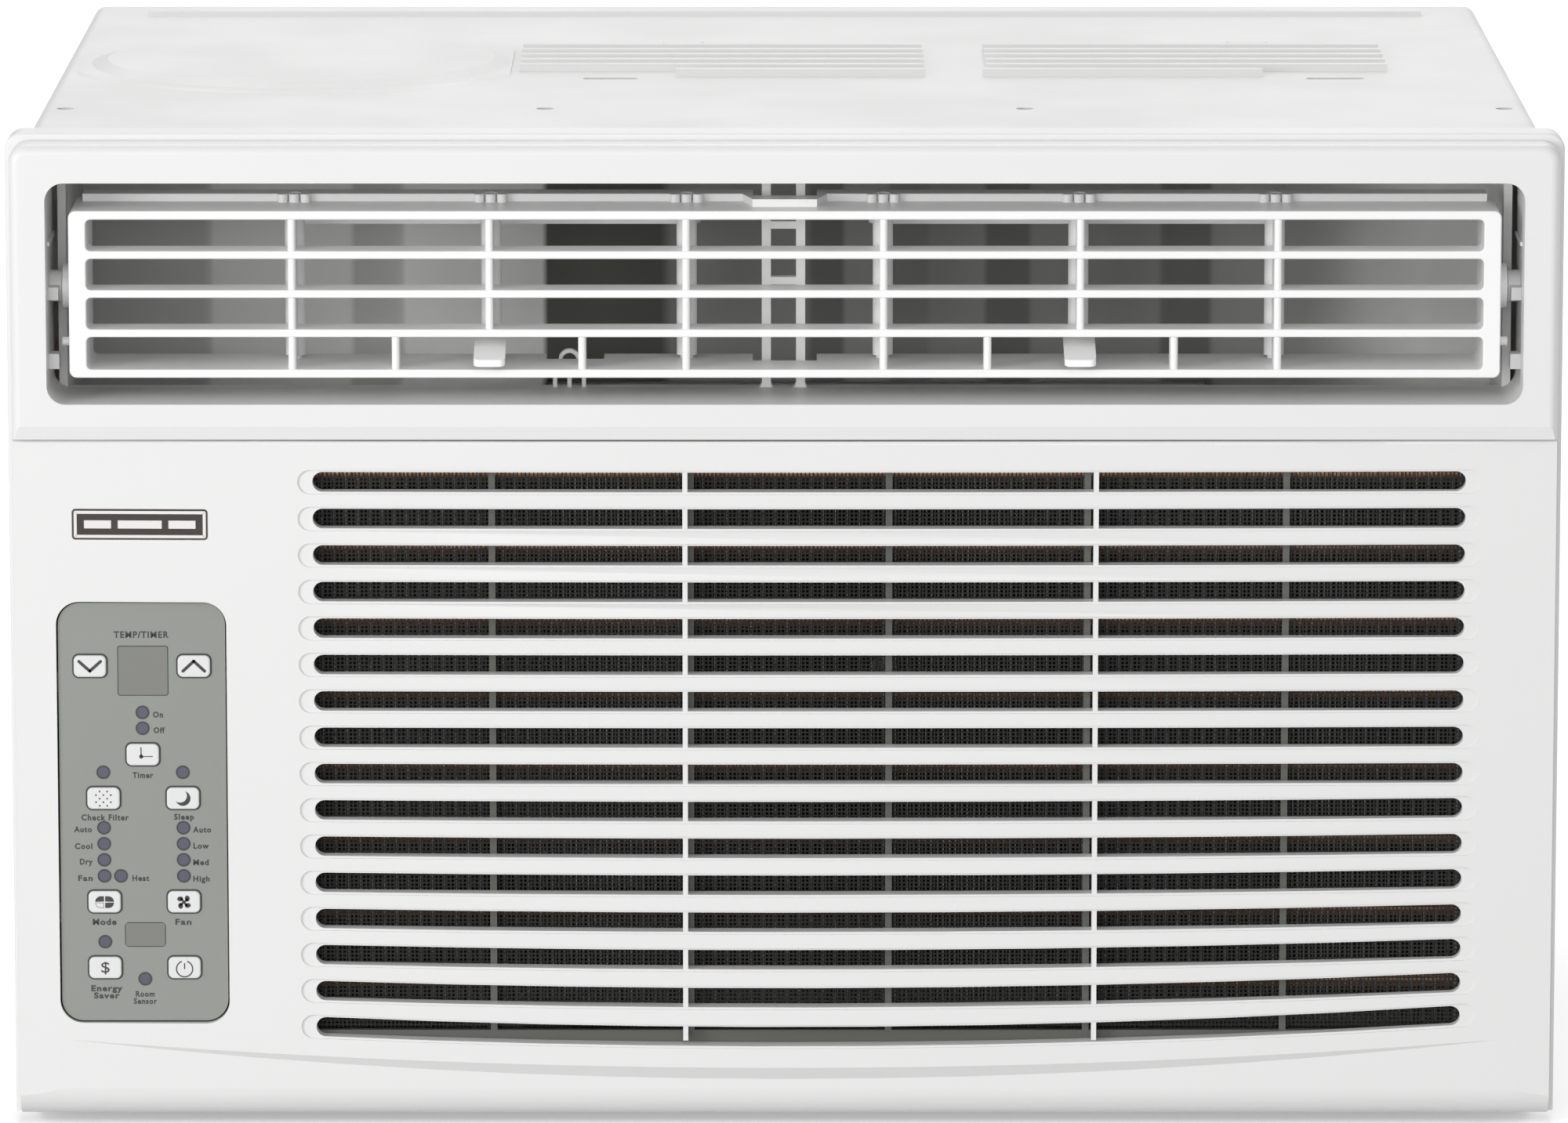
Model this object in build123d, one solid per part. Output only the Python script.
from build123d import *
import math
import os

# Window air conditioner with a hinged intake panel, a tilting louvre and electronic controls.
# Millimetres. Origin: centre of the base, on the sill. +X right, +Y to the outdoor side, +Z up.

# Overall
WIDTH = 460.0
RIM_TOP = 298.0
FRONT = -165.0
RIM_REAR = -140.0
REAR = 165.0
WALL = 2.5
SHEET = 1.0

# Front frame and outlet
RIM_FRONT = -152.0
RIM_BOTTOM = 3.0
FASCIA_HALF = 228.0
FRAME_SCREWS = ((-190.0, 192.0), (217.0, 40.0), (217.0, 190.0))
FASCIA_TOP = 296.0
FASCIA_BOTTOM = 208.4
FASCIA_SLOPE = (4.0, 0.9)
OUTLET_HALF = 217.5
OUTLET_LOW = 219.0
OUTLET_HIGH = 284.8
SLEEVE_REAR = -132.0

# Intake panel
PANEL_TOP = 207.9
PANEL_REAR = -152.5
LIP_DEPTH = 3.0
LIP_RISE = 4.0
SMILE_CENTRE_Z = 14.9
SMILE_END_Z = 27.7
SMILE_HALF = 217.0
SLOT_LEFT, SLOT_RIGHT = -139.5, 201.2
SLOT_HEIGHT = 5.9
SLOT_PITCH = 10.97
SLOT_ROWS = 16
SLOT_TOP = 198.6
SLOT_SAG = 1.49e-4
SLOT_SAG_STEP = 0.70
SLOT_SAG_HALF = 138.0
GRILLE_DEPTH = 6.5
MULLIONS = (-29.5, 92.0)
PANEL_AXIS_Y, PANEL_AXIS_Z = -155.8, 8.0

# Louvre
TILT_Y, TILT_Z = -143.0, 251.3
LOUVRE_HALF = 211.0
LOUVRE_LOW, LOUVRE_HIGH = 226.2, 275.9
LOUVRE_FRONT, LOUVRE_REAR = -160.0, -129.0
BAR_HEIGHTS = (239.5, 251.2, 262.8)
BAR_HALF, BAR_REAR = 1.17, -148.5
VANE_X = (-145.3, -87.1, -29.1, 29.1, 87.1, 145.3)
VANE_AXIS_Y = -136.0
TIE_PIN_Y = -118.0
TIE_TOP = 268.4
PIN_R = 2.0
RUNNING = 0.05

# Controls
CTRL_X = (-215.8, -165.3)
CTRL_Z = (32.0, 159.5)
CTRL_FACE = -161.0
CTRL_MID = -190.5
BOARD_REAR = -150.8
BOARD_POSTS = ((-210.0, 37.5), (-171.0, 37.5), (-210.0, 153.5), (-171.0, 153.5))
COL = 11.8
BUTTONS = {
    "button_temp_down": (CTRL_MID - 15.4, 140.0),
    "button_temp_up": (CTRL_MID + 15.4, 140.0),
    "button_timer": (CTRL_MID, 113.3),
    "button_filter": (CTRL_MID - COL, 100.1),
    "button_sleep": (CTRL_MID + COL, 100.1),
    "button_mode": (CTRL_MID - COL, 68.7),
    "button_fan": (CTRL_MID + COL, 68.7),
    "button_eco": (CTRL_MID - COL, 48.7),
    "button_power": (CTRL_MID + COL, 48.7),
}
BUTTON_W, BUTTON_H, BUTTON_R = 9.6, 6.5, 1.6
LED_R = 1.95
LEVELS = [76.5 + 4.87 * i for i in range(4)]
LEDS = [(CTRL_MID, 126.0), (CTRL_MID, 121.2), (CTRL_MID - COL, 107.9), (CTRL_MID + COL, 107.9)]
LEDS += [(CTRL_MID - COL, z) for z in LEVELS] + [(CTRL_MID + COL, z) for z in LEVELS]
LEDS += [(CTRL_MID - COL + 4.9, LEVELS[0]), (CTRL_MID - COL, 56.5), (CTRL_MID, 45.2)]
DISPLAY = (-197.6, -182.9, 131.2, 145.9)
SENSOR = (-196.2, -184.4, 55.1, 62.2)
BADGE = (-210.6, -170.6, 178.3, 187.3)

# Cabinet and base
CAB_HALF = 224.0
CAB_TOP = 297.5
CAB_FRONT = -139.8
DOME_X, DOME_Y = -150.0, 16.0
SIDE_BOLT_X, MID_BOLT_X = 216.0, 72.0
BOLT_Y = -92.0
BOLT_R = 2.6
PAN_HALF = 222.6
PAN_WALL = 22.0
SIDE_SCREWS = (-110.0, 5.0, 135.0)
SIDE_SCREW_Z = 14.0
GLAND_Y, GLAND_Z = -100.0, 60.0
DRAIN_X, DRAIN_Y = 180.0, 105.0

# Air path
AXIS_X, AXIS_Z = 30.0, 124.0
SHAFT_R = 4.0
WHEEL_R = 74.0
FAN_R = 100.0
COIL_TUBE_R = 3.5
EVAP = (-146.0, 200.0, -139.0, -109.0, 28.0, 204.0)
COND = (-200.0, 200.0, 128.0, 158.0, 16.0, 286.0)
DUCT_LOW, DUCT_HIGH, DUCT_REAR = 209.0, 290.0, -54.0
SILL_TOP = 217.9
THROAT = (-72.0, 128.0)
COMP_R = 55.0
FOOT_REACH = 62.0
COMP_FEET = [(DOME_X + FOOT_REACH * math.cos(math.radians(a)),
              DOME_Y + FOOT_REACH * math.sin(math.radians(a))) for a in (-30, 90, 210)]
ACC_X, ACC_Y = -196.0, 82.0
SUCTION_X, SUCTION_Z = -160.0, 35.0
ELEC = (-215.0, -166.0, -136.0, -80.0, 34.0, 165.0)


def block(x0, x1, y0, y1, z0, z1):
    """Box between two opposite corners."""
    return Pos((x0 + x1) / 2, (y0 + y1) / 2, (z0 + z1) / 2) * Box(x1 - x0, y1 - y0, z1 - z0)


def rod(radius, start, end):
    """Cylinder from one point to another."""
    way = Vector(*end) - Vector(*start)
    grow = (Align.CENTER, Align.CENTER, Align.MIN)
    return Plane(origin=start, z_dir=way) * Cylinder(radius, way.length, align=grow)


def slab(outline, y0, y1):
    """Outline drawn in X and Z, made solid from y0 to y1."""
    return extrude(Plane.XZ.offset(-y1) * outline, y1 - y0)


def bar(outline, x0, x1):
    """Outline drawn in Y and Z, made solid from x0 to x1."""
    return extrude(Plane.YZ.offset(x0) * outline, x1 - x0)


def pillar(outline, z0, z1):
    """Outline drawn in X and Y, made solid from z0 to z1."""
    return extrude(Plane.XY.offset(z0) * outline, z1 - z0)


def window(x0, x1, z0, z1, radius):
    """Rounded rectangle in X and Z."""
    return Pos((x0 + x1) / 2, (z0 + z1) / 2) * RectangleRounded(x1 - x0, z1 - z0, radius)


def pipe(radius, bend, *points):
    """Round pipe along straight runs joined by arcs."""
    path = FilletPolyline(*points, radius=bend)
    return sweep(Plane(origin=path @ 0, z_dir=path % 0) * Circle(radius), path)


def mirror_x(solid):
    """The solid and its mirror image across the unit's middle."""
    return solid + mirror(solid, Plane.YZ)


# Front moulding ------------------------------------------------------------------------------


def front_frame():
    """White rim and upper fascia: outlet sleeve, louvre pivots and panel hinge ears."""
    rim = block(-WIDTH / 2, WIDTH / 2, RIM_FRONT, RIM_REAR, RIM_BOTTOM, RIM_TOP)
    rim = fillet(rim.edges().filter_by(Axis.Y).group_by(Axis.Z)[-1], 5)
    rim = fillet(rim.faces().sort_by(Axis.Y)[0].edges().sort_by(Axis.Z)[1:], 0.9)
    inner = WIDTH / 2 - 1.6
    rim -= block(-inner, inner, RIM_FRONT + WALL, RIM_REAR + 1, -1, RIM_TOP - 1.6)
    fascia = block(-FASCIA_HALF, FASCIA_HALF, FRONT, RIM_FRONT + 1, FASCIA_BOTTOM, FASCIA_TOP)
    fascia = fillet(fascia.edges().filter_by(Axis.Y).group_by(Axis.Z)[-1], 5)
    face_edges = fascia.faces().sort_by(Axis.Y)[0].edges().sort_by(Axis.Z)
    fascia = fillet(face_edges[1:], 2.8)
    rise, back = FASCIA_SLOPE
    slope = Polyline((FRONT - 1, FASCIA_BOTTOM + rise), (FRONT, FASCIA_BOTTOM + rise),
                     (FRONT + back, FASCIA_BOTTOM - 0.2), (FRONT - 1, FASCIA_BOTTOM - 0.2), close=True)
    fascia -= bar(make_face(slope), -FASCIA_HALF - 1, FASCIA_HALF + 1)
    side = FASCIA_HALF - WALL
    hollow = block(-side, side, FRONT + WALL, RIM_FRONT + 2, FASCIA_BOTTOM + WALL, FASCIA_TOP - WALL)
    body = rim + (fascia - hollow)
    mouth = window(-OUTLET_HALF, OUTLET_HALF, OUTLET_LOW, OUTLET_HIGH, 5.5)
    sleeve = slab(offset(mouth, 2.0), FRONT + 1, SLEEVE_REAR)
    body += sleeve
    body -= slab(mouth, FRONT - 1, SLEEVE_REAR + 1)
    lowest = 17.0
    body -= block(-inner, inner, RIM_FRONT - 0.5, RIM_REAR, 0, lowest)
    body -= slab(window(EVAP[0] - 4, EVAP[1] + 12, EVAP[4] - 2, EVAP[5] + 2, 4), RIM_FRONT - 1, RIM_REAR)
    body -= slab(window(-218, -156, 26, 168, 3), RIM_FRONT - 1, RIM_REAR)
    skirt_outer = window(-222.4, 222.4, lowest, 295.9, 2)
    skirt_inner = window(-220.4, 220.4, lowest - 5, 293.9, 1)
    body += slab(skirt_outer - skirt_inner, RIM_FRONT + 1, -128)
    body -= block(-inner, inner, RIM_FRONT + WALL, -127, 0, PAN_WALL + 1)
    boss = rod(4.7, (-OUTLET_HALF - 1, TILT_Y, TILT_Z), (-213.9, TILT_Y, TILT_Z))
    boss += block(-OUTLET_HALF - 1, -214.6, TILT_Y - 9.5, TILT_Y - 3, TILT_Z - 3, TILT_Z + 0.8)
    boss += block(-OUTLET_HALF - 1, -214.5, TILT_Y - 10, TILT_Y - 4, 227.8, 232.3)
    boss += block(-OUTLET_HALF - 1, -216.9, TILT_Y - 12, SLEEVE_REAR, 264.8, 266.0)
    boss -= rod(2.95 + RUNNING, (-OUTLET_HALF - 0.6, TILT_Y, TILT_Z), (-210, TILT_Y, TILT_Z))
    ear = rod(3.3, (-209, PANEL_AXIS_Y, PANEL_AXIS_Z), (-206, PANEL_AXIS_Y, PANEL_AXIS_Z))
    ear += block(-209, -206, PANEL_AXIS_Y - 2.9, RIM_FRONT + 1, PANEL_AXIS_Z + 2, lowest + 6)
    ear -= rod(PIN_R + RUNNING, (-212, PANEL_AXIS_Y, PANEL_AXIS_Z), (-204, PANEL_AXIS_Y, PANEL_AXIS_Z))
    body += mirror_x(boss) + mirror_x(ear)
    for x, z in FRAME_SCREWS:
        body -= rod(2.1, (x, RIM_FRONT - 1, z), (x, RIM_FRONT + 4, z))
    return body


def smile(z_shift):
    """Shallow arc across the panel, low in the middle."""
    mid = (0, SMILE_CENTRE_Z + z_shift)
    return ThreePointArc((-SMILE_HALF - 11, SMILE_END_Z + 0.9 + z_shift), mid,
                         (SMILE_HALF + 11, SMILE_END_Z + 0.9 + z_shift))


def slot_row(row, height, extra):
    """One intake slot: straight in the upper rows, sagging ever more towards the bottom."""
    sag = SLOT_SAG * SLOT_SAG_STEP ** (SLOT_ROWS - 1 - row)
    x0, x1 = SLOT_LEFT - extra + height / 2, SLOT_RIGHT + extra - height / 2
    z_mid = SLOT_TOP - SLOT_PITCH * row - SLOT_HEIGHT / 2

    def z_at(x):
        return z_mid - sag * (SLOT_SAG_HALF ** 2 - x ** 2)

    if row < 9:
        return Pos((x0 + x1) / 2, z_mid) * SlotCenterToCenter(x1 - x0, height)
    xm = (x0 + x1) / 2
    return SlotArc(ThreePointArc((x0, z_at(x0)), (xm, z_at(xm)), (x1, z_at(x1))), height)


def bowed(depth, z0, z1):
    """Everything in front of the panel's bowed face, or of that face moved back by depth."""
    side = FASCIA_HALF + 1
    drop = LIP_DEPTH * (side / SMILE_HALF) ** 2
    face = ThreePointArc((-side, FRONT + drop + depth), (0, FRONT + depth), (side, FRONT + drop + depth))
    edge = Polyline(face @ 1, (side, FRONT - 5), (-side, FRONT - 5), face @ 0)
    return pillar(make_face([face, edge]), z0, z1)


def bowed_y(x):
    """Where the panel's face lies at x."""
    return FRONT + LIP_DEPTH * (x / SMILE_HALF) ** 2


def on_panel(solid, x):
    """Moves a solid, made with its face at y = 0 and x = 0, onto the bowed face."""
    slope = math.degrees(math.atan(2 * LIP_DEPTH * x / SMILE_HALF ** 2))
    return Pos(x, bowed_y(x), 0) * Rot(0, 0, slope) * solid


def badge_outline(shrink, radius):
    """Rounded outline of the name plate, made smaller all round."""
    half = (BADGE[1] - BADGE[0]) / 2 - shrink
    return window(-half, half, BADGE[2] + shrink, BADGE[3] - shrink, radius)


def intake_grille():
    """Hinged lower panel: bowed slotted face, control window, tapering ledge and rolled lower edge."""
    lip_face = FRONT + LIP_DEPTH
    lip = Line((PANEL_REAR, PANEL_TOP), (lip_face, PANEL_TOP)) + Line((lip_face, PANEL_TOP), (lip_face, 12))
    lip += EllipticalCenterArc((-153.4, 12), 8.6, 9, 180, arc_size=90)
    lip += Line((-153.4, 3), (PANEL_REAR, 3)) + Line((PANEL_REAR, 3), (PANEL_REAR, PANEL_TOP))
    body = bar(make_face(lip), -FASCIA_HALF, FASCIA_HALF)
    arc = smile(0)
    rise = Polyline(arc @ 1, (FASCIA_HALF, PANEL_TOP), (-FASCIA_HALF, PANEL_TOP), arc @ 0)
    raised = slab(make_face([arc, rise]), FRONT - 0.01, lip_face + 1)
    raised_face = raised.faces().sort_by(Axis.Y)[0]
    raised = chamfer(raised_face.edges().sort_by(Axis.Z)[0], LIP_RISE, LIP_DEPTH - 0.1, reference=raised_face)
    body += raised
    body -= bowed(0, -1, PANEL_TOP + 1)
    rim = body.faces().sort_by(Axis.Z)[-1].edges().filter_by(lambda e: e.center().Y < lip_face - 0.9)
    body = fillet(rim, 0.9)
    side = FASCIA_HALF - WALL
    inner = lip_face + WALL - 0.7
    body -= block(-side, side, inner, -152, 30, PANEL_TOP - WALL)
    foot = Line((-152, 31), (-159.5, 31)) + Line((-159.5, 31), (-159.5, 12))
    foot += EllipticalCenterArc((-153.4, 12), 6.1, 6.8, 180, arc_size=90)
    foot += Line((-153.4, 5.2), (-152, 5.2)) + Line((-152, 5.2), (-152, 31))
    body -= bar(make_face(foot), -side, side)
    axis = (PANEL_AXIS_Y, PANEL_AXIS_Z)
    ear_room = rod(3.7, (-209.6, *axis), (-205.4, *axis)) + block(-209.6, -205.4, -154.4, -150, 0, 7)
    body -= mirror_x(ear_room)
    rear = FRONT + GRILLE_DEPTH
    body += block(SLOT_LEFT - 7, SLOT_RIGHT + 7, lip_face + 1, rear, 24, 203)
    shallow = bowed(0.7, 0, PANEL_TOP)
    rows = range(SLOT_ROWS)
    recesses = [slab(slot_row(i, SLOT_HEIGHT + 1.3, 4.4), FRONT - 1, rear - 2) & shallow for i in rows]
    slots = [slab(slot_row(i, SLOT_HEIGHT, 0), FRONT - 1, FRONT + 9) for i in rows]
    body = body - recesses - slots
    for x in MULLIONS:
        body += block(x - 0.75, x + 0.75, bowed_y(x) + 1.0, rear, 27, 200)
    body -= slab(window(*CTRL_X, *CTRL_Z, 7), FRONT - 1, -150)
    body -= on_panel(slab(badge_outline(-0.15, 1.1), -2, 0.8), (BADGE[0] + BADGE[1]) / 2)
    cheek = block(-214.5, -211.5, -158.4, PANEL_AXIS_Y + 2.6, 5, 13)
    cheek += rod(PIN_R, (-212, PANEL_AXIS_Y, PANEL_AXIS_Z), (-206, PANEL_AXIS_Y, PANEL_AXIS_Z))
    return body + mirror_x(cheek)


def badge_plate():
    """Small dark plate with a raised border, set flush in the panel."""
    plate = slab(badge_outline(0, 1), 0.2, 0.8)
    plate += slab(badge_outline(0.9, 0.7) - badge_outline(1.3, 0.5), 0, 0.3)
    return on_panel(plate, (BADGE[0] + BADGE[1]) / 2)


def filter_frame():
    """Plastic grid that stiffens the air filter."""
    x0, x1, z0, z1 = SLOT_LEFT - 6, SLOT_RIGHT + 6, 25, 202
    grid = window(x0, x1, z0, z1, 3) - window(x0 + 4, x1 - 4, z0 + 4, z1 - 4, 2)
    frame = slab(grid, -158.2, -155.6)
    for i in range(1, 6):
        x = x0 + (x1 - x0) * i / 6
        frame += block(x - 1, x + 1, -158.2, -156.4, z0 + 2, z1 - 2)
    for i in range(1, 4):
        z = z0 + (z1 - z0) * i / 4
        frame += block(x0 + 2, x1 - 2, -158.2, -156.4, z - 1, z + 1)
    return frame


def filter_net():
    """Fine net behind the filter grid."""
    return block(SLOT_LEFT - 1.4, SLOT_RIGHT + 1.4, -156.3, -155.9, 29.6, 197.4)


# Louvre --------------------------------------------------------------------------------------


def louvre_frame():
    """Tilting frame: four rows of cells, vane sockets, rear rail and end pivots."""
    outer = window(-LOUVRE_HALF, LOUVRE_HALF, LOUVRE_LOW, LOUVRE_HIGH, 2.2)
    cell_half = LOUVRE_HALF - 5.1
    face = outer
    floors = [LOUVRE_LOW + 2.5] + [z + BAR_HALF for z in BAR_HEIGHTS]
    ceilings = [z - BAR_HALF for z in BAR_HEIGHTS] + [LOUVRE_HIGH - 2.6]
    for floor, ceiling in zip(floors, ceilings):
        face -= window(-cell_half, cell_half, floor, ceiling, 1.5)
    frame = slab(face, LOUVRE_FRONT, BAR_REAR)
    frame = fillet(frame.faces().sort_by(Axis.Y)[0].edges(), 0.45)
    inner = window(-cell_half, cell_half, floors[0], ceilings[-1], 1.5)
    frame += slab(outer - inner, BAR_REAR, LOUVRE_REAR)
    low, high = LOUVRE_LOW + 1.5, LOUVRE_HIGH - 1.5
    for x in VANE_X:
        foot = BAR_HEIGHTS[0] if abs(x) == 87.1 else low
        frame += pillar(Pos(x, -154.3) * RectangleRounded(2.3, 10.6, 1.1), foot, high)
    for x in (-114.8, -59.8, 59.8, 114.8):
        frame += pillar(Pos(x, -154.3) * RectangleRounded(2.3, 10.6, 1.1), low, BAR_HEIGHTS[0])
    top = LOUVRE_HIGH + 2.2
    rail_y, dip_y = VANE_AXIS_Y - 2.6, LOUVRE_FRONT + 9.5
    rail = Polyline((-208, LOUVRE_REAR), (-208, rail_y), (-12.5, rail_y), (-9.5, dip_y), (9.5, dip_y),
                    (12.5, rail_y), (208, rail_y), (208, LOUVRE_REAR), close=True)
    frame += pillar(make_face(rail), LOUVRE_HIGH - 1, top)
    for x in VANE_X:
        for prong in (x - 3.4, x, x + 3.4):
            frame += rod(1.5, (prong, VANE_AXIS_Y - 4, LOUVRE_HIGH - 1), (prong, VANE_AXIS_Y - 4, top + 0.2))
    frame -= block(-9.5, 9.5, -142, LOUVRE_REAR + 1, LOUVRE_HIGH - 3, top + 1)
    frame -= block(-9.5, 9.5, -142, LOUVRE_REAR + 1, LOUVRE_LOW - 1, LOUVRE_LOW + 4)
    frame -= block(-71, -53.7, -139, LOUVRE_REAR + 1, LOUVRE_LOW - 1, LOUVRE_LOW + 4)
    for x in VANE_X:
        axis = (x, VANE_AXIS_Y)
        frame -= rod(PIN_R + RUNNING, (*axis, LOUVRE_LOW - 1), (*axis, top + 1))
    tip, flange, root = -LOUVRE_HALF - 5.9, -LOUVRE_HALF - 2.6, -LOUVRE_HALF + 1
    end = rod(2.95, (tip, TILT_Y, TILT_Z), (root, TILT_Y, TILT_Z))
    end += rod(6.6, (flange, TILT_Y, TILT_Z), (root, TILT_Y, TILT_Z))
    end += rod(1.4, (flange, TILT_Y - 7, TILT_Z - 15.5), (root, TILT_Y - 7, TILT_Z - 15.5))
    return frame + mirror_x(end)


def vane(x, driven):
    """Upright vane with pivot pins, link pin and, on the driven ones, a finger tab."""
    front, step, rear = VANE_AXIS_Y - 9, VANE_AXIS_Y + 8, VANE_AXIS_Y + 32
    low, high = LOUVRE_LOW + 3.5, LOUVRE_HIGH - 4.1
    outline = Polyline((front, low), (step, low), (step + 2, low + 4), (rear, low + 5.5), (rear, high - 8.5),
                       (step + 2, high - 7), (step, high), (front, high), close=True)
    plate = bar(make_face(outline), x - 0.8, x + 0.8)
    axis = (x, VANE_AXIS_Y)
    plate += rod(3, (*axis, low), (*axis, high))
    plate += rod(PIN_R, (*axis, LOUVRE_LOW + 0.3), (*axis, LOUVRE_HIGH + 1.2))
    plate += rod(1.5, (x, TIE_PIN_Y, high - 12), (x, TIE_PIN_Y, TIE_TOP + 1.6))
    if driven:
        tab = Polyline((front + 2, 237.4), (-164.2, 232.2), (-164.4, 230.2), (front + 2, 235.2), close=True)
        finger = bar(make_face(tab), x - 4.65, x + 4.65)
        finger = fillet(finger.edges().filter_by(lambda e: abs(e.center().X - x) > 4 and e.center().Y < -164
                                                 and abs(e.tangent_at(0.5).Z) > 0.9), 1.8)
        plate += finger
    return plate


def tie_bar(middle):
    """Flat link on the rear pins of three vanes, which turns them together."""
    xs = [x for x in VANE_X if abs(x - middle) < 80]
    strip = Pos(middle, TIE_PIN_Y) * SlotCenterToCenter(xs[-1] - xs[0], 8)
    link = pillar(strip, TIE_TOP - 1.6, TIE_TOP)
    for x in xs:
        link -= rod(1.5 + RUNNING, (x, TIE_PIN_Y, TIE_TOP - 3), (x, TIE_PIN_Y, TIE_TOP + 3))
    return link


# Controls ------------------------------------------------------------------------------------


def control_overlay():
    """Grey faced panel with openings for the keys, the lenses and two windows."""
    gap = 0.5
    face = window(CTRL_X[0] + gap, CTRL_X[1] - gap, CTRL_Z[0] + gap, CTRL_Z[1] - gap, 6.5)
    for x, z in BUTTONS.values():
        face -= Pos(x, z) * RectangleRounded(BUTTON_W + 0.3, BUTTON_H + 0.3, BUTTON_R + 0.1)
    for x, z in LEDS:
        face -= Pos(x, z) * Circle(LED_R + 0.05)
    face -= window(*DISPLAY, 0.6)
    face -= window(*SENSOR, 0.6)
    return slab(face, CTRL_FACE, CTRL_FACE + 0.9)


def control_housing():
    """Tray behind the overlay, with screw lugs on the front frame."""
    x0, x1, z0, z1 = CTRL_X[0] + 0.9, CTRL_X[1] - 0.9, CTRL_Z[0] + 0.9, CTRL_Z[1] - 0.9
    tray = slab(window(x0, x1, z0, z1, 6), CTRL_FACE + 0.9, -146)
    tray -= slab(window(x0 + 2, x1 - 2, z0 + 2, z1 - 2, 4), CTRL_FACE, -148)
    for z in (z0 + 12, z1 - 12):
        tray -= block(x0 + 20, x1 - 20, -149, -145, z - 4, z + 4)
    for x, z in BOARD_POSTS:
        tray += rod(2.2, (x, -147.5, z), (x, BOARD_REAR, z))
    for z in (63, 133):
        tray += block(-220.2, -152.8, RIM_FRONT + WALL, -147.4, z - 3, z + 3)
    return tray


def control_board():
    """Circuit board with a tactile switch under each key, a lamp under each lens and the display."""
    board = slab(window(CTRL_X[0] + 3.3, CTRL_X[1] - 3.3, CTRL_Z[0] + 3.3, CTRL_Z[1] - 3.3, 3),
                 BOARD_REAR - 1.6, BOARD_REAR)
    for x, z in BUTTONS.values():
        board += block(x - 3, x + 3, BOARD_REAR - 4, BOARD_REAR - 1.5, z - 2.9, z + 2.9)
    for x, z in LEDS:
        board += rod(1.4, (x, BOARD_REAR - 7.5, z), (x, BOARD_REAR - 1.5, z))
    x0, x1, z0, z1 = DISPLAY
    board += block(x0 + 1, x1 - 1, BOARD_REAR - 9, BOARD_REAR - 1.5, z0 + 1, z1 - 1)
    return board


def button(x, z):
    """Push key: cap through the overlay, retaining flange and stem over its switch."""
    cap = slab(Pos(x, z) * RectangleRounded(BUTTON_W, BUTTON_H, BUTTON_R), CTRL_FACE - 1.0, CTRL_FACE + 1.2)
    cap = fillet(cap.faces().sort_by(Axis.Y)[0].edges(), 0.5)
    flange = slab(Pos(x, z) * RectangleRounded(BUTTON_W + 1.6, BUTTON_H + 1.6, BUTTON_R), CTRL_FACE + 1.0,
                  CTRL_FACE + 1.8)
    return cap + flange + rod(1.8, (x, CTRL_FACE + 1.5, z), (x, BOARD_REAR - 4.8, z))


def led_lenses():
    """Small round diffusers, one over each lamp."""
    return [rod(LED_R, (x, CTRL_FACE - 0.1, z), (x, CTRL_FACE + 2.2, z)) for x, z in LEDS]


def pane(x0, x1, z0, z1):
    """Tinted window in the overlay."""
    return slab(window(x0 + 0.05, x1 - 0.05, z0 + 0.05, z1 - 0.05, 0.6), CTRL_FACE - 0.05, CTRL_FACE + 0.9)


# Cabinet and base ----------------------------------------------------------------------------


def louvre_hoods(x0, x1, y):
    """Pressed louvre: a low rounded hood, open on its rear side, with its slot in the sheet."""
    hood = Polyline((y - 3.4, CAB_TOP - 0.4), (y - 1.2, CAB_TOP + 2.1), (y + 2.6, CAB_TOP + 2.1),
                    (y + 2.6, CAB_TOP + 1.3), (y - 0.8, CAB_TOP + 1.3), (y - 2.4, CAB_TOP - 0.4), close=True)
    shell = bar(make_face(hood), x0, x1)
    end = Polyline((y - 3.4, CAB_TOP - 0.4), (y - 1.2, CAB_TOP + 2.1), (y + 2.6, CAB_TOP + 2.1),
                   (y + 2.6, CAB_TOP - 0.4), close=True)
    cap = make_face(end)
    slot = block(x0 + 1, x1 - 1, y - 1.8, y + 2.6, CAB_TOP - 2, CAB_TOP + 1)
    return shell + bar(cap, x0, x0 + 0.9) + bar(cap, x1 - 0.9, x1), slot


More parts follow.
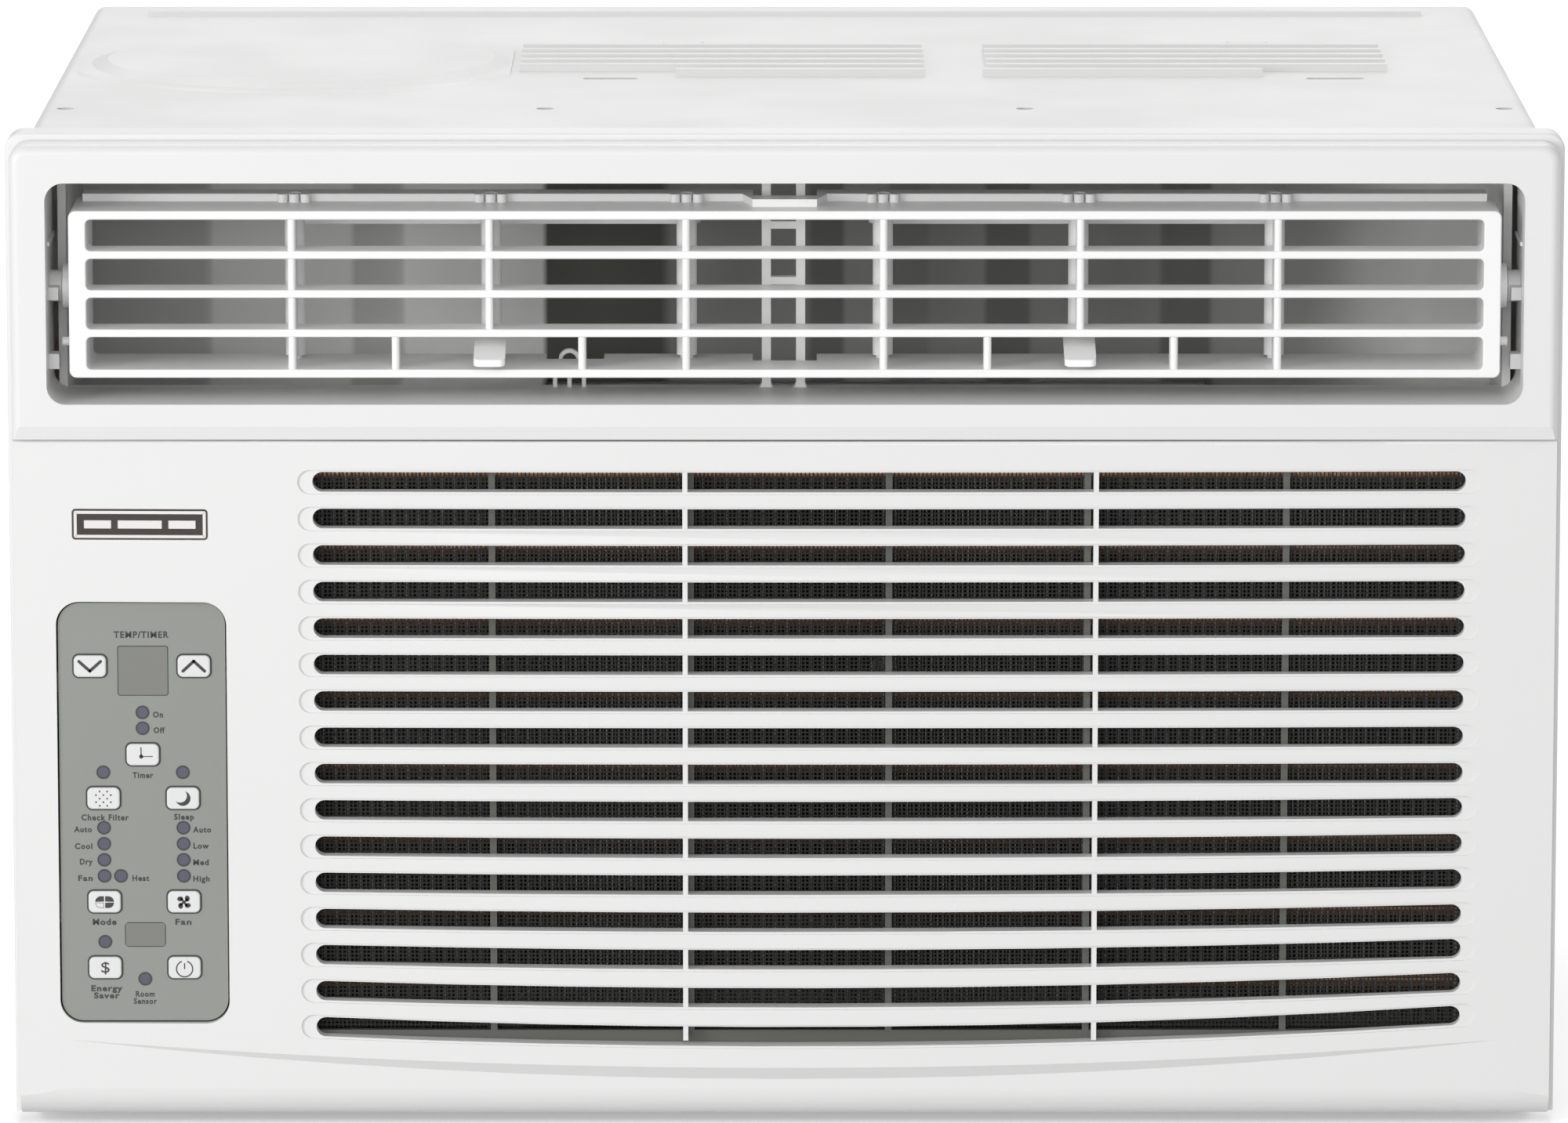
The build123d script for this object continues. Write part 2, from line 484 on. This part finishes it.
def cabinet():
    """Painted steel cover: pressed louvres, compressor dome, rear bead, slots and screw holes."""
    low = 2.0
    shell = block(-CAB_HALF, CAB_HALF, CAB_FRONT, REAR, low, CAB_TOP)
    shell = fillet(shell.edges().filter_by(Axis.Y).group_by(Axis.Z)[-1], 4)
    inside = block(-CAB_HALF + SHEET, CAB_HALF - SHEET, CAB_FRONT - 1, REAR - SHEET, low - 1, CAB_TOP - SHEET)
    inside = fillet(inside.edges().filter_by(Axis.Y).group_by(Axis.Z)[-1], 3)
    shell -= inside
    shell -= block(-CAB_HALF + 16, CAB_HALF - 16, REAR - 3, REAR + 1, low - 1, CAB_TOP - 12)
    centre = Pos(DOME_X, DOME_Y, CAB_TOP)
    dome = [centre * Pos(0, 0, -0.2) * Cone(77, 71, 1.6), centre * Pos(0, 0, 1.2) * Cone(66, 60, 1.8)]
    dish = [centre * Pos(0, 0, -1.2) * Cone(76, 70, 1.6), centre * Pos(0, 0, 0.2) * Cone(65, 59, 1.8)]
    reach = block(-CAB_HALF + 6, -84.5, -61, REAR - 10, CAB_TOP - 5, CAB_TOP + 5)
    shell = shell + [d & reach for d in dome] - [d & reach for d in dish]
    cuts = []
    for row in range(6):
        y = -13.0 + 12.5 * row
        spans = ((-33.5, 43.0), (61.0, 147.0)) if row == 0 else ((-82.0, 43.0), (62.0, 186.0))
        for x0, x1 in spans:
            hood, slot = louvre_hoods(x0, x1, y)
            shell += hood
            cuts.append(slot)
    for x0, x1 in ((-62.0, -45.0), (160.0, 178.0)):
        cuts.append(pillar(Pos((x0 + x1) / 2, -20.4) * SlotOverall(x1 - x0, 4), CAB_TOP - 3, CAB_TOP + 1))
    for x in (-SIDE_BOLT_X, -MID_BOLT_X, MID_BOLT_X, SIDE_BOLT_X):
        cuts.append(rod(BOLT_R, (x, BOLT_Y, CAB_TOP - 3), (x, BOLT_Y, CAB_TOP + 1)))
    bead = Pos(0, 142, CAB_TOP - 2.2) * Rot(0, 90, 0) * Cylinder(4, 410)
    groove = Pos(0, 142, CAB_TOP - 2.2) * Rot(0, 90, 0) * Cylinder(3, 408)
    shell += bead & block(-205, 205, 130, 155, CAB_TOP - 0.9, CAB_TOP + 5)
    shell -= groove & block(-204, 204, 130, 155, CAB_TOP - 3, CAB_TOP + 5)
    for side in (-1, 1):
        for row in range(12):
            z = 100.0 + 14 * row
            ends = sorted((side * CAB_HALF, side * (CAB_HALF - 3)))
            cuts.append(bar(Pos(45, z) * SlotOverall(78, 4), ends[0] - 1, ends[1] + 1))
        for y in SIDE_SCREWS:
            cuts.append(rod(2.1, (side * 230, y, SIDE_SCREW_Z), (side * 215, y, SIDE_SCREW_Z)))
    cuts.append(rod(8, (-230, GLAND_Y, GLAND_Z), (-215, GLAND_Y, GLAND_Z)))
    for x in (-32.0, 145.5):
        shell += pillar(Pos(x, 66) * SlotOverall(13, 5), CAB_TOP - 0.2, CAB_TOP + 0.7)
    return shell - cuts


def base_pan():
    """Pressed steel tray under everything, with condensate channel ribs."""
    pan = block(-PAN_HALF, PAN_HALF, -138, REAR - 1.6, 0, PAN_WALL)
    pan = fillet(pan.edges().filter_by(Axis.Z), 3)
    cavity = block(-PAN_HALF + 1.2, PAN_HALF - 1.2, -136.8, REAR - 2.8, 1.2, 30)
    cavity = fillet(cavity.edges().filter_by(Axis.Z), 2)
    pan -= cavity
    for y in (-100.0, -72.0, 80.0):
        pan += block(-200, 205, y - 2, y + 2, 1, 4)
    for side in (-1, 1):
        for y in SIDE_SCREWS:
            pan -= rod(2.1, (side * 230, y, SIDE_SCREW_Z), (side * 210, y, SIDE_SCREW_Z))
    pan -= rod(6, (DRAIN_X, DRAIN_Y, -1), (DRAIN_X, DRAIN_Y, 3))
    for x, y in COMP_FEET:
        pan += rod(5, (x, y, 1), (x, y, 6))
    return pan


def side_screws():
    """Hex washer-head screws that hold the cabinet to the pan."""
    found = []
    for side in (-1, 1):
        for y in SIDE_SCREWS:
            start, face = (side * 216, y, SIDE_SCREW_Z), side * CAB_HALF
            screw = rod(2.0, start, (face, y, SIDE_SCREW_Z))
            screw += rod(4.6, (face, y, SIDE_SCREW_Z), (face + side * 0.9, y, SIDE_SCREW_Z))
            head = Plane(origin=(face + side * 0.8, y, SIDE_SCREW_Z), z_dir=(side, 0, 0)) * RegularPolygon(3.5, 6)
            found.append(screw + extrude(head, 2.4))
    return found


def frame_screws():
    """Pan-head screws that hold the front frame."""
    found = []
    for x, z in FRAME_SCREWS:
        screw = rod(3.9, (x, RIM_FRONT - 2.4, z), (x, RIM_FRONT, z))
        screw += rod(2.0, (x, RIM_FRONT - 1, z), (x, RIM_FRONT + 10, z))
        found.append(screw - block(x - 0.5, x + 0.5, RIM_FRONT - 3, RIM_FRONT - 1.3, z - 2.6, z + 2.6))
    return found


def cord_gland():
    """Bushing in the cabinet side where the supply cord would pass."""
    y, z = GLAND_Y, GLAND_Z
    gland = rod(11, (-226.4, y, z), (-CAB_HALF, y, z)) + rod(7.9, (-225, y, z), (-220, y, z))
    gland += rod(10, (-222.9, y, z), (-220, y, z))
    return gland - rod(4.5, (-230, y, z), (-215, y, z))


def drain_plug():
    """Rubber plug in the pan floor."""
    return rod(9, (DRAIN_X, DRAIN_Y, 1.2), (DRAIN_X, DRAIN_Y, 4)) + rod(5.9, (DRAIN_X, DRAIN_Y, 0.1),
                                                                       (DRAIN_X, DRAIN_Y, 2))


# Air path ------------------------------------------------------------------------------------


def air_duct():
    """White duct from the scroll to the outlet, with a centre ladder and curved end walls."""
    half = 216.0
    duct = block(-half, half, SLEEVE_REAR + 0.5, DUCT_REAR, DUCT_LOW, DUCT_HIGH)
    duct -= block(-half + 2.5, half - 2.5, SLEEVE_REAR, DUCT_REAR - 2.5, DUCT_LOW + 2.5, DUCT_HIGH - 2.5)
    duct -= block(THROAT[0], THROAT[1], -102, DUCT_REAR - 3, DUCT_LOW - 1, DUCT_LOW + 4)
    sill = Polyline((SLEEVE_REAR + 0.5, DUCT_LOW + 1), (SLEEVE_REAR + 0.5, SILL_TOP), (-120, SILL_TOP),
                    (-105, DUCT_LOW + 1), close=True)
    duct += bar(make_face(sill), -half + 1, half - 1)
    for x in (-5.5, 4.7):
        post = Line((x - 3.1, 217), (x - 3.1, SILL_TOP))
        post += ThreePointArc((x - 3.1, SILL_TOP), (x - 1.75, 219.1), (x - 1.35, 221.5))
        post += Line((x - 1.35, 221.5), (x - 1.35, DUCT_HIGH - 1))
        post += Line((x - 1.35, DUCT_HIGH - 1), (x + 1.35, DUCT_HIGH - 1))
        post += Line((x + 1.35, DUCT_HIGH - 1), (x + 1.35, 221.5))
        post += ThreePointArc((x + 1.35, 221.5), (x + 1.75, 219.1), (x + 3.1, SILL_TOP))
        post += Line((x + 3.1, SILL_TOP), (x + 3.1, 217)) + Line((x + 3.1, 217), (x - 3.1, 217))
        duct += slab(make_face(post), -130.8, -125)
    for z in (250.9, 267.6):
        duct += block(-6, 6, -130.4, -126.5, z - 1.1, z + 1.1)
    eye = Pos(-64.2, 226.6) * (Circle(3.2) - Circle(2.1))
    duct += slab(eye, -127.4, -125)
    for x in (-68.5, -64.2, -59.9):
        duct += block(x - 0.6, x + 0.6, -127.4, -125, 217, 225.4)
    duct += block(-69.1, -59.3, -127.4, -125, 224, 225.4)
    curve = Pos(158, -118, 250) * Rot(0, -14, 0) * (Cylinder(63, 160) - Cylinder(60.5, 170))
    wall = curve & block(152, 214.5, -117, DUCT_REAR - 1, DUCT_LOW + 1, DUCT_HIGH - 1)
    return duct + wall


def scroll_outline():
    """Spiral around the blower, opening upwards into the duct."""
    right, low, left = AXIS_X + 82, AXIS_Z - 86, AXIS_X - 102
    tip = (AXIS_X + 80 * math.cos(math.radians(50)), AXIS_Z + 80 * math.sin(math.radians(50)))
    turn = (right - 86, low)
    wall = RadiusArc((right, AXIS_Z), turn, 86)
    wall += RadiusArc(turn, (left, low + 98), 98)
    wall += Polyline((left, low + 98), (left, DUCT_LOW), (THROAT[1], DUCT_LOW), tip)
    wall += ThreePointArc(tip, (AXIS_X + 81.5 * math.cos(math.radians(25)),
                                AXIS_Z + 81.5 * math.sin(math.radians(25))), (right, AXIS_Z))
    return make_face(wall)


def scroll_housing():
    """Moulded volute around the blower with an inlet ring at the front."""
    inside = scroll_outline()
    shell = slab(offset(inside, 3), -106, -52) - slab(inside, -103, -54.5)
    shell -= block(-120, 180, -110, -50, DUCT_LOW, 240)
    shell -= block(THROAT[0], THROAT[1], -103, -54.5, DUCT_LOW - 8, DUCT_LOW + 1)
    shell -= rod(60, (AXIS_X, -110, AXIS_Z), (AXIS_X, -102, AXIS_Z))
    return shell - rod(10, (AXIS_X, -60, AXIS_Z), (AXIS_X, -50, AXIS_Z))


def blower_wheel():
    """Forward-curved centrifugal wheel: back plate, blades, front ring and hub."""
    y0, y1 = -100.0, -58.0
    centre, count, inner = Pos(AXIS_X, AXIS_Z), 32, WHEEL_R - 13
    wheel = rod(WHEEL_R, (AXIS_X, y1 - 1.6, AXIS_Z), (AXIS_X, y1, AXIS_Z))
    ring = Circle(WHEEL_R) - Circle(WHEEL_R - 5)
    wheel += slab(centre * ring, y0, y0 + 2)
    wheel += rod(13, (AXIS_X, y1 - 18, AXIS_Z), (AXIS_X, y1, AXIS_Z))
    blade = Pos(inner + 6, 0) * Rot(0, 0, 24) * RectangleRounded(13.5, 1.4, 0.6)
    turns = [Rot(0, 0, 360 * i / count) for i in range(count)]
    blades = [slab(centre * turn * blade, y0 + 1, y1 - 1) for turn in turns]
    wheel = wheel + blades
    return wheel - rod(SHAFT_R, (AXIS_X, y0 - 1, AXIS_Z), (AXIS_X, y1 + 1, AXIS_Z))


def fan_shaft():
    """Steel shaft through the motor, carrying both fans."""
    return rod(SHAFT_R, (AXIS_X, -80, AXIS_Z), (AXIS_X, 112, AXIS_Z))


def condenser_fan():
    """Axial fan with a slinger ring that lifts condensate onto the coil."""
    hub = rod(20, (AXIS_X, 86, AXIS_Z), (AXIS_X, 108, AXIS_Z))
    ring = slab(Pos(AXIS_X, AXIS_Z) * (Circle(FAN_R + 2) - Circle(FAN_R - 1)), 91, 103)
    sector = Circle(FAN_R) & (Pos(FAN_R / 2 + 6, 0) * Trapezoid(88, FAN_R + 12, 74, rotation=90))
    vanes = []
    for i in range(4):
        blade = extrude(sector, 1.6) & Cylinder(FAN_R - 0.5, 10)
        blade = Rot(24, 0, 0) * blade
        vanes.append(Pos(AXIS_X, 97, AXIS_Z) * Rot(90, 0, 0) * Rot(0, 0, 90 * i) * blade)
    fan = hub + ring + [v & block(-120, 180, 88, 106, 0, 260) for v in vanes]
    return fan - rod(SHAFT_R, (AXIS_X, 80, AXIS_Z), (AXIS_X, 120, AXIS_Z))


def fan_motor():
    """Double-shaft motor: rolled body, end bells and bearing noses."""
    motor = rod(44, (AXIS_X, -24, AXIS_Z), (AXIS_X, 40, AXIS_Z))
    motor = fillet(motor.edges(), 8)
    motor += rod(46, (AXIS_X, 4, AXIS_Z), (AXIS_X, 12, AXIS_Z))
    motor += rod(14, (AXIS_X, -32, AXIS_Z), (AXIS_X, 48, AXIS_Z))
    return motor - rod(SHAFT_R + RUNNING, (AXIS_X, -40, AXIS_Z), (AXIS_X, 60, AXIS_Z))


def motor_bracket():
    """Steel stand that clamps the motor band."""
    outline = Pos(AXIS_X, 60) * Rectangle(96, 117.2)
    plate = slab(outline, 14, 17) - rod(44.4, (AXIS_X, 10, AXIS_Z), (AXIS_X, 20, AXIS_Z))
    plate -= rod(16, (AXIS_X, 10, 45), (AXIS_X, 20, 45))
    return plate + block(AXIS_X - 48, AXIS_X + 48, 14, 34, 1.4, 4)


def bulkhead():
    """Insulated wall between the room side and the outdoor side."""
    wall = block(-220, 220, -51.4, -49.8, 1.4, 208)
    wall -= rod(9, (AXIS_X, -60, AXIS_Z), (AXIS_X, -40, AXIS_Z))
    return wall - rod(8, (SUCTION_X, -60, SUCTION_Z), (SUCTION_X, -40, SUCTION_Z))


def fan_shroud():
    """Sheet in front of the condenser with a collar around the fan."""
    collar = Circle(108.5) - Circle(106.5)
    plate = slab(window(-204, 212, 5, 288, 3) - Pos(AXIS_X, AXIS_Z) * Circle(106.5), 124, 125.6)
    return plate + slab(Pos(AXIS_X, AXIS_Z) * collar, 104, 125)


def coil_rows(box, count):
    """Tube centres, as Y and Z, of a two-row coil."""
    y0, y1, z0, z1 = box[2], box[3], box[4], box[5]
    pitch = (z1 - z0) / count
    return [(y0 + (y1 - y0) * (0.28 if row == 0 else 0.72), z0 + pitch * (i + 0.5)) for row in range(2)
            for i in range(count)]


def coil_fins(box, count):
    """Fin pack, pierced by its tubes."""
    pack = block(*box)
    holes = [rod(COIL_TUBE_R, (box[0] - 1, y, z), (box[1] + 1, y, z)) for y, z in coil_rows(box, count)]
    return pack - holes


def coil_tubes(box, count):
    """Copper hairpins: straight runs through the fins and a bend at each end."""
    stub = 3.0
    x0, x1 = box[0] - stub, box[1] + stub
    centres = coil_rows(box, count)
    tubes = Part() + [rod(COIL_TUBE_R, (x0, y, z), (x1, y, z)) for y, z in centres]
    for row in range(2):
        column = centres[row * count:(row + 1) * count]
        for i in range(count - 1):
            (y, za), (_, zb) = column[i], column[i + 1]
            side, x = (1, x1) if i % 2 == 0 else (-1, x0)
            ring = Pos(x, y, (za + zb) / 2) * Rot(90, 0, 0) * Torus((zb - za) / 2, COIL_TUBE_R)
            tubes += ring & block(min(x, x + side * 30), max(x, x + side * 30), y - 5, y + 5, za - 5, zb + 5)
    return tubes


def coil_ends(box, count):
    """Galvanised end plates of a coil."""
    plates = []
    for x0, x1 in ((box[0] - 2, box[0] - 0.8), (box[1] + 0.8, box[1] + 2)):
        plate = block(x0, x1, box[2], box[3], box[4] - 4, box[5] + 4)
        holes = [rod(COIL_TUBE_R, (x0 - 1, y, z), (x1 + 1, y, z)) for y, z in coil_rows(box, count)]
        plates.append(plate - holes)
    return plates


# Sealed system and wiring --------------------------------------------------------------------


def compressor():
    """Rotary compressor: welded can with domed ends, accumulator and three-legged foot."""
    low, high = 30.0, 210.0
    can = rod(COMP_R, (DOME_X, DOME_Y, low), (DOME_X, DOME_Y, high))
    can = fillet(can.edges(), 22)
    can += rod(9, (DOME_X, DOME_Y, high - 4), (DOME_X, DOME_Y, high + 12))
    bottle = rod(21, (ACC_X, ACC_Y, 60), (ACC_X, ACC_Y, 170))
    bottle = fillet(bottle.edges(), 12)
    can += bottle + block(ACC_X, DOME_X - 6, DOME_Y + 40, ACC_Y, 110, 118)
    can += rod(5, (ACC_X, ACC_Y, 165), (ACC_X, ACC_Y, 182))
    foot = RegularPolygon(FOOT_REACH + 18, 3)
    foot = Pos(DOME_X, DOME_Y) * Rot(0, 0, -30) * fillet(foot.vertices(), 9)
    plate = pillar(foot, 16, 19) + rod(30, (DOME_X, DOME_Y, 18), (DOME_X, DOME_Y, 34))
    can += plate
    for x, y in COMP_FEET:
        can -= rod(5.5, (x, y, 10), (x, y, 30))
    return can


def terminal_cover():
    """Plastic cover over the compressor terminals."""
    cover = block(DOME_X - 20, DOME_X + 20, DOME_Y - 20, DOME_Y + 20, 222, 240)
    return fillet(cover.edges().filter_by(Axis.Z), 6)


def compressor_grommets():
    """Rubber feet under the compressor."""
    return [rod(10, (x, y, 6.2), (x, y, 16)) + rod(5.3, (x, y, 15), (x, y, 21)) - rod(3, (x, y, 5), (x, y, 25))
            for x, y in COMP_FEET]


def compressor_bolts():
    """Studs and flange nuts on the rubber feet."""
    return [rod(2.9, (x, y, 6.2), (x, y, 27)) + rod(8, (x, y, 21.2), (x, y, 22.6)) +
            pillar(Pos(x, y) * RegularPolygon(5.5, 6), 22.4, 26) for x, y in COMP_FEET]


def discharge_line():
    """Hot gas pipe from the can's top to the condenser's upper tube."""
    y, z = coil_rows(COND, 12)[11]
    return pipe(3.2, 8, (DOME_X + 28, DOME_Y, 210), (DOME_X + 28, DOME_Y, 262), (DOME_X + 28, 100, 262),
                (-214, 100, 262), (-214, y, z), (COND[0] - 3.3, y, z))


def suction_line():
    """Cool gas pipe from the evaporator through the bulkhead to the accumulator."""
    y, z = coil_rows(EVAP, 8)[8]
    behind, left, top = -45.3, -214.0, 206.0
    return pipe(3.6, 6, (EVAP[0] - 3.3, y, z), (SUCTION_X, y, z), (SUCTION_X, behind, SUCTION_Z),
                (left, behind, SUCTION_Z), (left, 30, SUCTION_Z), (left, 30, top), (ACC_X, ACC_Y, top),
                (ACC_X, ACC_Y, 182.2))


def filter_drier():
    """Copper filter drier with the start of the capillary tube."""
    x, y = 190.0, 60.0
    drier = fillet(rod(9, (x, y, 120), (x, y, 200)).edges(), 5)
    drier += rod(3.2, (x, y, 195), (x, y, 214)) + rod(2.0, (x, y, 104), (x, y, 125))
    coil = Pos(x, y, 92) * Torus(16, 1.5)
    return drier + coil + Pos(x, y, 98) * Torus(16, 1.5) + block(x - 16, x + 16, y - 1.2, y + 1.2, 91, 106)


def electric_box():
    """Steel box behind the controls for the main board and the capacitor."""
    x0, x1, y0, y1, z0, z1 = ELEC
    box = block(*ELEC) - block(x0 + 1, x1 - 1, y0 + 1, y1 - 1, z0 + 1, z1 + 1)
    box -= rod(7, (x0 - 1, GLAND_Y, GLAND_Z), (x0 + 3, GLAND_Y, GLAND_Z))
    return box


def electric_cover():
    """Lid of the electric box."""
    x0, x1, y0, y1, z0, z1 = ELEC
    lid = block(x0 - 1, x1 + 1, y0 - 1, y1 + 1, z1 - 8, z1 + 1)
    return lid - block(x0 - 0.1, x1 + 0.1, y0 - 0.1, y1 + 0.1, z1 - 9, z1 + 0.05)


def run_capacitor():
    """Oval can capacitor with two blade terminals."""
    can = pillar(Pos(-189, -104) * SlotOverall(44, 26), 36, 106)
    for x in (-197.0, -181.0):
        can += block(x - 3, x + 3, -104.4, -103.6, 105, 116)
    return can


# Write ---------------------------------------------------------------------------------------


def write(name, shape):
    """Save one node, made of one or more solids."""
    solids = shape if isinstance(shape, list) else [shape]
    pieces = [s for part in solids for s in part.solids()]
    export_step(pieces[0] if len(pieces) == 1 else Compound(pieces), f"parts/{name}.step")


os.makedirs("parts", exist_ok=True)
write("front_frame", front_frame())
write("frame_screws", frame_screws())
write("intake_grille", intake_grille())
write("badge_plate", badge_plate())
write("filter_frame", filter_frame())
write("filter_net", filter_net())
write("louvre_frame", louvre_frame())
for number, x in enumerate(VANE_X, 1):
    write(f"vane_{number}", vane(x, number in (2, 5)))
write("tie_bar_left", tie_bar(VANE_X[1]))
write("tie_bar_right", tie_bar(VANE_X[4]))
write("control_overlay", control_overlay())
write("control_housing", control_housing())
write("control_board", control_board())
for name, (x, z) in BUTTONS.items():
    write(name, button(x, z))
write("led_lenses", led_lenses())
write("display_window", pane(*DISPLAY))
write("sensor_window", pane(*SENSOR))
write("cabinet", cabinet())
write("base_pan", base_pan())
write("side_screws", side_screws())
write("cord_gland", cord_gland())
write("drain_plug", drain_plug())
write("air_duct", air_duct())
write("scroll_housing", scroll_housing())
write("blower_wheel", blower_wheel())
write("fan_shaft", fan_shaft())
write("condenser_fan", condenser_fan())
write("fan_motor", fan_motor())
write("motor_bracket", motor_bracket())
write("bulkhead", bulkhead())
write("fan_shroud", fan_shroud())
for coil, box, count in (("evaporator", EVAP, 8), ("condenser", COND, 12)):
    write(f"{coil}_fins", coil_fins(box, count))
    write(f"{coil}_tubes", coil_tubes(box, count))
    write(f"{coil}_ends", coil_ends(box, count))
write("compressor", compressor())
write("terminal_cover", terminal_cover())
write("compressor_grommets", compressor_grommets())
write("compressor_bolts", compressor_bolts())
write("discharge_line", discharge_line())
write("suction_line", suction_line())
write("filter_drier", filter_drier())
write("electric_box", electric_box())
write("electric_cover", electric_cover())
write("run_capacitor", run_capacitor())
